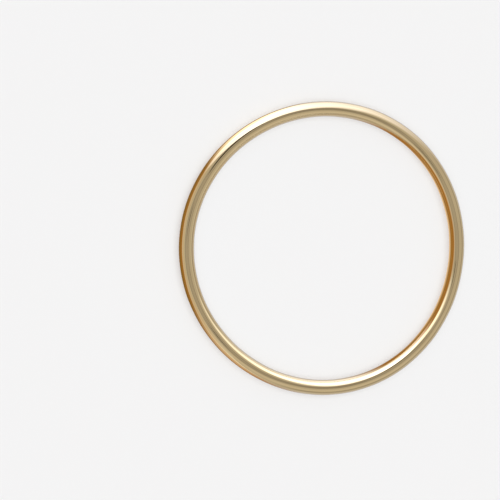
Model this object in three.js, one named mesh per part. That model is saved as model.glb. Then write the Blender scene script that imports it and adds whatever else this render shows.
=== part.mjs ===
// A plain round bangle: one length of polished round wire bent into a hoop and soldered closed.
// It lies flat, as it would be put down on a table. Millimetres, +Z up along the hoop's axis,
// origin at the hoop's centre on the surface that it lies on.

import * as THREE from 'three';

// Driving dimensions
const INNER_DIAMETER = 65; // the clear opening that passes over the hand
const WIRE_DIAMETER = 3.8; // the thickness of the round wire

// Fineness of the faceted surface
const WIRE_SIDES = 24; // flats around the wire, a multiple of 4 so that one faces each way
const HOOP_STEPS = 96; // straight steps around the hoop

// Pale yellow gold, polished bright
const GOLD_COLOUR = 0xd3b27c;
const GOLD_ROUGHNESS = 0.1;
const GOLD_METALNESS = 1;

const WIRE_RADIUS = WIRE_DIAMETER / 2;
const CENTRE_LINE_RADIUS = INNER_DIAMETER / 2 + WIRE_RADIUS;

// The wire's section, a closed outline beside the axis with the surface at height 0. Its corners
// are turned half a step, so that one flat lies on the surface, and they stand just outside the
// true circle, so that the wire keeps its full thickness from flat to flat.
function wireSection() {
  const halfStep = Math.PI / WIRE_SIDES;
  const cornerRadius = WIRE_RADIUS / Math.cos(halfStep);
  const section = [];
  for (let corner = 0; corner < WIRE_SIDES; corner += 1) {
    const angle = (2 * corner + 1) * halfStep;
    const outward = CENTRE_LINE_RADIUS + cornerRadius * Math.cos(angle);
    const height = WIRE_RADIUS + cornerRadius * Math.sin(angle);
    section.push(new THREE.Vector2(outward, height));
  }
  section.push(section[0].clone());
  return section;
}

// The section turned once around the axis. A lathe turns about +Y, so the finished hoop is
// laid down with its axis along +Z.
function makeHoop() {
  const geometry = new THREE.LatheGeometry(wireSection(), HOOP_STEPS);
  const material = new THREE.MeshStandardMaterial({
    color: GOLD_COLOUR,
    roughness: GOLD_ROUGHNESS,
    metalness: GOLD_METALNESS,
  });
  const hoop = new THREE.Mesh(geometry, material);
  hoop.name = 'hoop';
  hoop.rotation.x = Math.PI / 2;
  return hoop;
}

const bangle = new THREE.Group();
bangle.name = 'bangle';
bangle.add(makeHoop());

export default bangle;
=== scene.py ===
import math

import bpy
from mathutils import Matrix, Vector


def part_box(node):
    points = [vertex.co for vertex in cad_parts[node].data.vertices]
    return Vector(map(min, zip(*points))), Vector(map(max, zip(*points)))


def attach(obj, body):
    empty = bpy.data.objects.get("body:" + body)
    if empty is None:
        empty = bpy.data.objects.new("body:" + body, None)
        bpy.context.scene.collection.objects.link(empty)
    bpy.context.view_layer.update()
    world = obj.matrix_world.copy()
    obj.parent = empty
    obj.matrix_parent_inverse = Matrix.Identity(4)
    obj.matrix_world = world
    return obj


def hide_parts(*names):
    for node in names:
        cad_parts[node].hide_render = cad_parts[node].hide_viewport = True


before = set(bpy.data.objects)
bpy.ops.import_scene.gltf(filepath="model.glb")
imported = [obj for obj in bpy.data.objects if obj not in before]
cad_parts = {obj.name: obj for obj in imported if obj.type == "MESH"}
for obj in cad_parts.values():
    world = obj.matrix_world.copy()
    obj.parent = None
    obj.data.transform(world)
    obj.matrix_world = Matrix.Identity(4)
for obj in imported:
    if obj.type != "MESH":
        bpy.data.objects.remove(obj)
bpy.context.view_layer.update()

# Hoop
# The whole bangle: one length of round brass wire, bent to a circle by hand, soldered closed and
# filed flush. It is plated in pale yellow gold and polished on a soft wheel, which leaves a bright
# mirror with faint hairlines along the wire.
MM = 0.001
WIRE_POINTS = 80
HOOP_STEPS = 640
low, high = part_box("hoop")
wire_radius = (high.z - low.z) / 2
centre_line_radius = high.x - wire_radius
wire_height = low.z + wire_radius

bpy.ops.object.select_all(action="DESELECT")
bpy.ops.mesh.primitive_circle_add(
    vertices=WIRE_POINTS,
    radius=wire_radius,
    fill_type="NOTHING",
    location=(centre_line_radius, 0, wire_height),
    rotation=(math.radians(90), 0, 0),
)
hoop = bpy.context.object
hoop.name = "polished_hoop"
bpy.ops.object.transform_apply(location=True, rotation=True, scale=True)
bpy.ops.object.mode_set(mode="EDIT")
bpy.ops.mesh.select_mode(type="VERT")
bpy.ops.mesh.select_all(action="SELECT")
bpy.ops.mesh.spin(steps=HOOP_STEPS, angle=math.tau, center=(0, 0, 0), axis=(0, 0, 1))
bpy.ops.mesh.select_all(action="SELECT")
bpy.ops.mesh.remove_doubles(threshold=0.01 * MM)
bpy.ops.mesh.normals_make_consistent(inside=False)
bpy.ops.mesh.select_all(action="DESELECT")
bpy.ops.object.mode_set(mode="OBJECT")
bpy.ops.object.shade_smooth()


def push_points(points, move, reach):
    """Moves some points of the hoop and draws the surface around them along with a soft falloff."""
    for point in points:
        point.select = True
    bpy.ops.object.mode_set(mode="EDIT")
    bpy.ops.transform.translate(
        value=move,
        use_proportional_edit=True,
        proportional_edit_falloff="SMOOTH",
        proportional_size=reach,
    )
    bpy.ops.mesh.select_all(action="DESELECT")
    bpy.ops.object.mode_set(mode="OBJECT")


# Bending by hand leaves the circle very slightly three sided: it stands out at three places and
# lies in between them.
LOBES = 3
FIRST_LOBE_ANGLE = math.radians(52)
LOBE_HEIGHT = 0.22 * MM
LOBE_REACH = 34 * MM
for half_lobe in range(2 * LOBES):
    angle = FIRST_LOBE_ANGLE + half_lobe * math.pi / LOBES
    outward = Vector((math.cos(angle), math.sin(angle), 0))
    height = LOBE_HEIGHT if half_lobe % 2 == 0 else -LOBE_HEIGHT
    half_step = centre_line_radius * math.pi / HOOP_STEPS
    section = [
        point
        for point in hoop.data.vertices
        if point.co.dot(outward) > 0 and abs(point.co.cross(outward).z) < half_step
    ]
    push_points(section, height * outward, LOBE_REACH)

# The polishing wheel takes off a little more in some places than in others. It leaves low waves,
# far too low to feel, that only stir the reflections.
WAVE_LENGTH = 6 * MM
WAVE_HEIGHT = 0.06 * MM
waves = bpy.data.textures.new("polish_waves", "CLOUDS")
waves.noise_scale = WAVE_LENGTH
waves.noise_depth = 0
polish = hoop.modifiers.new("polish", "DISPLACE")
polish.texture = waves
polish.texture_coords = "LOCAL"
polish.strength = WAVE_HEIGHT
polish.mid_level = 1
bpy.ops.object.modifier_apply(modifier="polish")


class Shade:
    """A shader value that takes part in plain arithmetic. Each step of it adds a node."""

    def __init__(self, tree, socket=None):
        self.tree = tree
        self.socket = socket

    def node(self, kind, settings, sockets, output=0):
        """Adds a node of any kind, sets it up, fills or links its sockets and gives one output."""
        made = self.tree.nodes.new(kind)
        for name, value in settings.items():
            setattr(made, name, value)
        for name, value in sockets.items():
            if isinstance(value, Shade):
                self.tree.links.new(value.socket, made.inputs[name])
            else:
                made.inputs[name].default_value = value
        return Shade(self.tree, made.outputs[output])

    def maths(self, operation, first, second):
        return self.node("ShaderNodeMath", {"operation": operation}, {0: first, 1: second})

    def __add__(self, other):
        return self.maths("ADD", self, other)

    def __radd__(self, other):
        return self.maths("ADD", other, self)

    def __sub__(self, other):
        return self.maths("SUBTRACT", self, other)

    def __rsub__(self, other):
        return self.maths("SUBTRACT", other, self)

    def __mul__(self, other):
        return self.maths("MULTIPLY", self, other)

    def __rmul__(self, other):
        return self.maths("MULTIPLY", other, self)

    def __pow__(self, other):
        return self.maths("POWER", self, other)


def distance(x, y):
    """How far a place lies from the middle, from its two coordinates."""
    return (x * x + y * y) ** 0.5


LIGHT_GOLD = (0.92, 0.715, 0.41, 1)
DEEP_GOLD = (0.88, 0.665, 0.36, 1)
EDGE_GOLD = (1, 0.96, 0.88, 1)
CLOUD_SIZE = 7 * MM
HAIRLINE_ACROSS = 0.16 * MM
HAIRLINE_ALONG = 10 * MM
HAIRLINE_DEPTH = 0.001 * MM
DRAWING_LINE_DEPTHS = 16
BRIGHTEST_POLISH = 0.03
CLOUD_DULLING = 0.03
HAIRLINE_DULLING = 0.05
gold = bpy.data.materials.new("polished_pale_gold")
gold.use_nodes = True
shader = gold.node_tree.nodes["Principled BSDF"]
shader.inputs["Metallic"].default_value = 1
shader.inputs["Specular Tint"].default_value = EDGE_GOLD
start = Shade(gold.node_tree)
place = start.node("ShaderNodeTexCoord", {}, {}, "Object")
x = start.node("ShaderNodeSeparateXYZ", {}, {0: place}, "X")
y = start.node("ShaderNodeSeparateXYZ", {}, {0: place}, "Y")
z = start.node("ShaderNodeSeparateXYZ", {}, {0: place}, "Z")
from_axis = distance(x, y)
hairline_place = start.node(
    "ShaderNodeCombineXYZ",
    {},
    {
        "X": from_axis * (1 / HAIRLINE_ACROSS) + x * (1 / HAIRLINE_ALONG),
        "Y": z * (1 / HAIRLINE_ACROSS) + y * (1 / HAIRLINE_ALONG),
        "Z": (x - y) * (1 / HAIRLINE_ALONG),
    },
)
hairlines = start.node("ShaderNodeTexNoise", {}, {"Vector": hairline_place, "Scale": 1, "Detail": 2})
drawing_lines = start.node("ShaderNodeTexNoise", {}, {"Vector": hairline_place, "Scale": 0.25, "Detail": 1})
clouds = start.node("ShaderNodeTexNoise", {}, {"Vector": place, "Scale": 1 / CLOUD_SIZE, "Detail": 2})
gold_colour = start.node(
    "ShaderNodeMix",
    {"data_type": "RGBA"},
    {0: clouds, 6: LIGHT_GOLD, 7: DEEP_GOLD},
    2,
)
roughness = BRIGHTEST_POLISH + CLOUD_DULLING * clouds + HAIRLINE_DULLING * hairlines
line_height = hairlines + DRAWING_LINE_DEPTHS * drawing_lines
relief = start.node(
    "ShaderNodeBump",
    {},
    {"Strength": 1, "Distance": HAIRLINE_DEPTH, "Height": line_height},
)
gold.node_tree.links.new(gold_colour.socket, shader.inputs["Base Color"])
gold.node_tree.links.new(roughness.socket, shader.inputs["Roughness"])
gold.node_tree.links.new(relief.socket, shader.inputs["Normal"])
hoop.data.materials.append(gold)

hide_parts("hoop")
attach(hoop, "root")

# Floor
# A plain white photographer's table, matt and wide enough to fill every view. It is lit through from
# below as well, so that hardly any shadow shows on it. The metal mirrors the room and not the table.
FLOOR_SIZE = 6
TABLE_GREY = (0.4, 0.4, 0.4, 1)
TABLE_ROUGHNESS = 0.9
GLOW_COLOUR = (1, 1, 1, 1)
GLOW_STRENGTH = 0.48
bpy.ops.object.select_all(action="DESELECT")
bpy.ops.mesh.primitive_plane_add(size=FLOOR_SIZE, location=(0, 0, 0))
floor = bpy.context.object
floor.name = "floor"
pale = bpy.data.materials.new("pale_table")
pale.use_nodes = True
table = pale.node_tree.nodes["Principled BSDF"]
table.inputs["Base Color"].default_value = TABLE_GREY
table.inputs["Roughness"].default_value = TABLE_ROUGHNESS
table.inputs["Specular IOR Level"].default_value = 0
table.inputs["Emission Color"].default_value = GLOW_COLOUR
table.inputs["Emission Strength"].default_value = GLOW_STRENGTH
floor.data.materials.append(pale)
floor.visible_glossy = False

# Camera
# It looks almost straight down on the hoop through a long lens. It leans over to the left of the
# hoop's axis, and its aim leaves the hoop standing right of the middle of the picture.
CAMERA_LEAN = (math.radians(-3.1), math.radians(-13.4), 0)
CAMERA_DISTANCE = 1
CAMERA_AIM = Vector((-0.01862, -0.00024, wire_height))
PIXELS_PER_METRE = 4072
IMAGE_WIDTH = 500
camera_data = bpy.data.cameras.new("camera")
camera_data.lens = PIXELS_PER_METRE * CAMERA_DISTANCE * camera_data.sensor_width / IMAGE_WIDTH
camera = bpy.data.objects.new("camera", camera_data)
bpy.context.scene.collection.objects.link(camera)
camera.rotation_euler = CAMERA_LEAN
towards_camera = camera.rotation_euler.to_matrix() @ Vector((0, 0, 1))
camera.location = CAMERA_AIM + CAMERA_DISTANCE * towards_camera
bpy.context.scene.camera = camera
bpy.context.scene.view_settings.view_transform = "Standard"

# Light
# A dim, even studio. One big soft box beyond the hoop stands in the metal as two bright bands, and a
# lamp above is for the table alone. The left of the room is warm, which gives the hoop amber edges.
ROOM_STRENGTH = 0.5
ROOM_COLOUR = (1, 1, 1, 1)
PALE_COLOUR = (1.15, 1.25, 1.6, 1)
AMBER_COLOUR = (0.74, 0.4, 0.105, 1)
BROWN_COLOUR = (0.49, 0.344, 0.133, 1)
world = bpy.data.worlds.new("studio")
world.use_nodes = True
bpy.context.scene.world = world
room = Shade(world.node_tree)
direction = room.node("ShaderNodeTexCoord", {}, {}, "Generated")
rightward = room.node("ShaderNodeSeparateXYZ", {}, {0: direction}, "X")
backward = room.node("ShaderNodeSeparateXYZ", {}, {0: direction}, "Y")
upward = room.node("ShaderNodeSeparateXYZ", {}, {0: direction}, "Z")


def fade(value, start, end):
    """0 before start, 1 after end and a soft slope between them."""
    return value.node(
        "ShaderNodeMapRange",
        {"interpolation_type": "SMOOTHSTEP"},
        {"Value": value, "From Min": start, "From Max": end},
    )


def patch_overhead(lean_x, lean_y, inner, outer):
    """A soft round patch of the room, by its lean from straight up and its two radii, in degrees."""
    towards = Vector((math.tan(math.radians(lean_x)), math.tan(math.radians(lean_y)), 1)).normalized()
    nearness = room.node(
        "ShaderNodeVectorMath",
        {"operation": "DOT_PRODUCT"},
        {0: direction, 1: towards},
        "Value",
    )
    return fade(nearness, math.cos(math.radians(outer)), math.cos(math.radians(inner)))


def mix_colours(share, first, second):
    """One colour that goes over into another as the share goes from 0 to 1."""
    return share.node("ShaderNodeMix", {"data_type": "RGBA"}, {0: share, 6: first, 7: second}, 2)


# The room is pale below. It is warm on the left, amber at first and brown low down on the far left.
below = fade(upward, -0.1, -0.4)
warm_side = fade(rightward + 0.45 * upward, -0.1, -0.5) * fade(upward, 0.75, 0.51)
brown_side = fade(upward, -0.3, -0.55) * fade(rightward, -0.25, -0.5)
warm_colour = mix_colours(brown_side, AMBER_COLOUR, BROWN_COLOUR)
room_colour = mix_colours(warm_side, mix_colours(below, ROOM_COLOUR, PALE_COLOUR), warm_colour)

# The ceiling is a darker panel with a darker edge, and three dark spots hang under it: a flag beside
# the soft box, the camera's lens and the head of a stand. The front wall is brighter, and a dark
# skirting runs along the foot of the walls. Together they draw fine lines along the wire.
ceiling = patch_overhead(lean_x=-8, lean_y=-2, inner=24, outer=29)
ceiling_edge = ceiling - patch_overhead(lean_x=-8, lean_y=-2, inner=18, outer=24)
front_wall = fade(backward, -0.1, -0.6) * fade(upward, 0.35, 0.55) * fade(upward, 0.85, 0.7)
skirting = fade(upward, 0.02, 0.2) * fade(upward, 0.42, 0.24) * fade(rightward, -0.2, 0.1)
panels = 1 - 0.18 * ceiling - 0.27 * ceiling_edge + 0.2 * front_wall - 0.35 * skirting
flag = patch_overhead(lean_x=-3, lean_y=17.5, inner=5, outer=9.5)
lens = patch_overhead(lean_x=-13.4, lean_y=3.1, inner=1.5, outer=4.5)
stand_head = patch_overhead(lean_x=-1, lean_y=-15.5, inner=1.5, outer=4)
dark_spots = flag + lens + stand_head
room_strength = ROOM_STRENGTH * panels * (1 - 0.96 * dark_spots)
background = world.node_tree.nodes["Background"]
world.node_tree.links.new(room_colour.socket, background.inputs["Color"])
world.node_tree.links.new(room_strength.socket, background.inputs["Strength"])


def hang_light(name, size, radiance, colour, location, turn):
    """A flat light of its own size and brightness that the camera does not see."""
    data = bpy.data.lights.new(name, "AREA")
    data.shape = "RECTANGLE"
    data.size, data.size_y = size
    data.energy = radiance * math.pi * size[0] * size[1]
    data.color = colour
    light = bpy.data.objects.new(name, data)
    bpy.context.scene.collection.objects.link(light)
    light.location = location
    light.rotation_euler = [math.radians(degrees) for degrees in turn]
    light.visible_camera = False
    return light


def mirrored_only(light, places):
    """Leaves a light to be seen in the metal alone and gives the X and Y of the places on its face."""
    light.visible_diffuse = False
    light.data.use_nodes = True
    face = Shade(light.data.node_tree)
    place_on_face = face.node("ShaderNodeNewGeometry", {}, {}, places)
    return [face.node("ShaderNodeSeparateXYZ", {}, {0: place_on_face}, axis) for axis in "XY"]


def shape_glow(light, glow):
    """Makes a light brighter in some places of its face than in others."""
    tree = light.data.node_tree
    tree.links.new(glow.socket, tree.nodes["Emission"].inputs["Strength"])


table_lamp = hang_light(
    "table_lamp",
    size=(1.6, 1.6),
    radiance=2.42,
    colour=(0.98, 1, 1.03),
    location=(0, 0, 1.5),
    turn=(0, 0, 0),
)
table_lamp.visible_glossy = False

# The soft box has a sharp slanting top edge, and it dies away at both ends and towards the table. Its
# lower left part is covered, so that the warm side of the room shows under the lower bright band.
soft_box = hang_light(
    "soft_box",
    size=(2.7, 2.5),
    radiance=1.7,
    colour=(0.89, 1, 1.45),
    location=(-0.11, 0.69, 0.44),
    turn=(93, 9, 169),
)
cloth_along, cloth_up = mirrored_only(soft_box, "Parametric")
cloth_ends = fade(cloth_along, 0.06, 0.58) * fade(cloth_along, 0.96, 0.4)
cloth_top = fade(cloth_up + 0.64 * cloth_along, 1.23, 1.17)
cover = fade(cloth_along, 0.45, 0.58) * fade(cloth_up, 0.42, 0.33)
shape_glow(soft_box, cloth_ends * cloth_top * fade(cloth_up, 0, 0.45) * (1 - cover))


def stand_card(name, radiance, location, turn):
    """A low white card that stands close outside the hoop and reaches below the table top."""
    low_card = hang_light(name, (0.05, 0.016), radiance, (0.9, 1, 1.15), location, (90, 0, turn))
    along, up = mirrored_only(low_card, "Parametric")
    ends = fade(along, 0, 0.4) * fade(along, 0.9, 0.5)
    shape_glow(low_card, ends * fade(up, 0.05, 0.4) * fade(up, 1, 0.8))


# The card at the upper left keeps the outer side there bright down to the rim. The one at the lower left
# is dim and only lightens the brown rim near it.
stand_card("upper_card", radiance=1.4, location=(-0.022, 0.037, -0.001), turn=211)
stand_card("lower_card", radiance=0.3, location=(-0.027, -0.034, -0.001), turn=321)

# A cool sheet, cut out around the hoop, hangs low on the left. It outshines the warm side of the room on
# the top of the hoop's outer side and leaves it to show at the rim.
sheet = hang_light(
    "sheet",
    size=(0.3, 0.5),
    radiance=0.45,
    colour=(0.54, 0.81, 1),
    location=(-0.175, 0, 0.0165),
    turn=(0, 4, 0),
)
sheet_x, sheet_y = mirrored_only(sheet, "Position")
shape_glow(sheet, fade(distance(sheet_x, sheet_y), 0.0375, 0.0425))

# A narrow white strip lies on the table close inside the hoop on the right. It draws a thin pale line
# along the foot of the wire.
strip = hang_light(
    "strip",
    size=(0.07, 0.07),
    radiance=0.55,
    colour=(1, 0.93, 0.95),
    location=(0, 0, 0.0002),
    turn=(180, 0, 0),
)
strip_x, strip_y = mirrored_only(strip, "Position")
strip_reach = distance(strip_x, strip_y)
strip_edges = fade(strip_reach, 0.026, 0.032) * fade(strip_reach, 0.0345, 0.034)
shape_glow(strip, strip_edges * fade(strip_x, 0.016, 0.03))


def hang_reflector(name, size, radiance, location, turn):
    """A small white card close over the hoop, brightest in its middle."""
    reflector = hang_light(name, size, radiance, (0.9, 1, 1.2), location, turn)
    along, up = mirrored_only(reflector, "Parametric")
    shape_glow(reflector, fade(distance(along - 0.5, up - 0.5), 0.5, 0.15))


# Three reflectors stir the hoop's inner side. One draws the lower bright band out to the right and one
# to the left. One over the middle puts a faint pale line all around.
hang_reflector(
    "right_reflector",
    size=(0.018, 0.03),
    radiance=1.1,
    location=(0.0189, -0.0155, 0.0138),
    turn=(0, 0, 318),
)
hang_reflector(
    "left_reflector",
    size=(0.026, 0.044),
    radiance=0.75,
    location=(0.0016, -0.0125, 0.022),
    turn=(90, 0, 146),
)
hang_reflector(
    "middle_reflector",
    size=(0.026, 0.026),
    radiance=0.15,
    location=(0.003, -0.004, 0.025),
    turn=(0, 0, 0),
)
